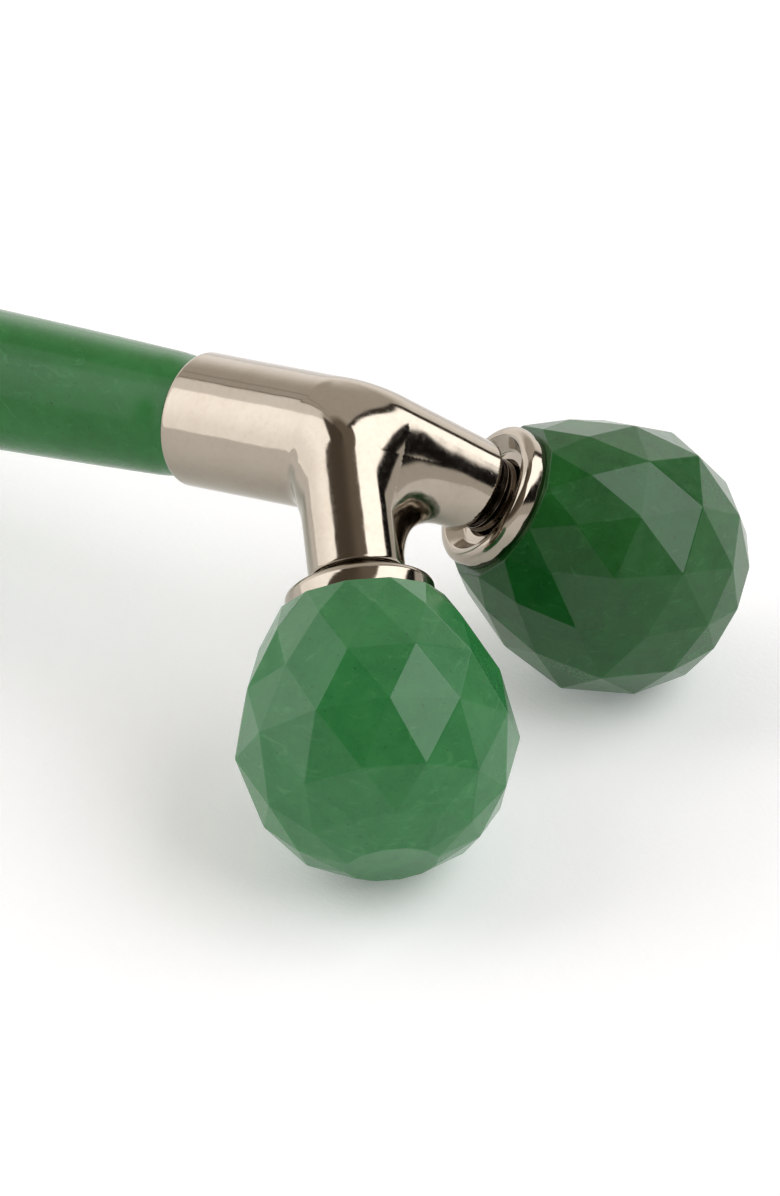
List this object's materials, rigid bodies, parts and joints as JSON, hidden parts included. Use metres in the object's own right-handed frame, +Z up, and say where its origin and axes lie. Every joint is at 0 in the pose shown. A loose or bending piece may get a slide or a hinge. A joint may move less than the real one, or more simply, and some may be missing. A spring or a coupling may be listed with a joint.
{
  "type": "face roller",
  "caption": "Hand-held facial massage roller: a polished stone handle, a forked metal yoke and faceted egg-shaped stones that spin freely on its angled arms.",
  "frame": {"origin": "on the table, under the middle of the roller as it stands on its stones and the butt of its handle", "axes": "+X runs from the handle to the stones, +Y is the left side, +Z is up"},
  "size_m": [0.1636, 0.067, 0.0362],
  "materials": {
    "handle_jade": "polished jade",
    "stone_jade": "faceted, polished jade",
    "plated_nickel": "polished warm nickel plate",
    "dark_nickel": "polished dark nickel plate",
    "steel": "ground steel",
    "brass": "pressed brass"
  },
  "bodies": {
    "frame": {"handle": "handle_jade", "dowel": "steel", "yoke": "plated_nickel", "left_axle": "steel", "left_collar": "dark_nickel", "left_spacer": "steel", "left_washer": "steel", "left_screw": "steel", "left_inboard_inner_race": "steel", "left_outboard_inner_race": "steel", "right_axle": "steel", "right_collar": "dark_nickel", "right_spacer": "steel", "right_washer": "steel", "right_screw": "steel", "right_inboard_inner_race": "steel", "right_outboard_inner_race": "steel"},
    "left_head": {"left_stone": "stone_jade", "left_sleeve": "plated_nickel", "left_inboard_outer_race": "steel", "left_outboard_outer_race": "steel"},
    "left_cages": {"left_inboard_balls": "steel", "left_inboard_cage": "brass", "left_outboard_balls": "steel", "left_outboard_cage": "brass"},
    "right_head": {"right_stone": "stone_jade", "right_sleeve": "plated_nickel", "right_inboard_outer_race": "steel", "right_outboard_outer_race": "steel"},
    "right_cages": {"right_inboard_balls": "steel", "right_inboard_cage": "brass", "right_outboard_balls": "steel", "right_outboard_cage": "brass"}
  },
  "joints": [
    {"name": "left_stone_spin", "type": "hinge", "parent": "frame", "child": "left_head", "pos_m": [0.0687, 0.02049, 0.013], "axis": [0.5591, 0.5906, -0.5818], "continuous": true},
    {"name": "left_cage_spin", "type": "hinge", "parent": "frame", "child": "left_cages", "pos_m": [0.0687, 0.02049, 0.013], "axis": [0.5591, 0.5906, -0.5818], "continuous": true},
    {"name": "right_stone_spin", "type": "hinge", "parent": "frame", "child": "right_head", "pos_m": [0.0687, -0.02049, 0.013], "axis": [0.5591, -0.5906, -0.5818], "continuous": true},
    {"name": "right_cage_spin", "type": "hinge", "parent": "frame", "child": "right_cages", "pos_m": [0.0687, -0.02049, 0.013], "axis": [0.5591, -0.5906, -0.5818], "continuous": true}
  ],
  "couplings": [
    {"joint": "left_cage_spin", "follows": "left_stone_spin", "ratio": 0.62},
    {"joint": "right_cage_spin", "follows": "right_stone_spin", "ratio": 0.62}
  ]
}
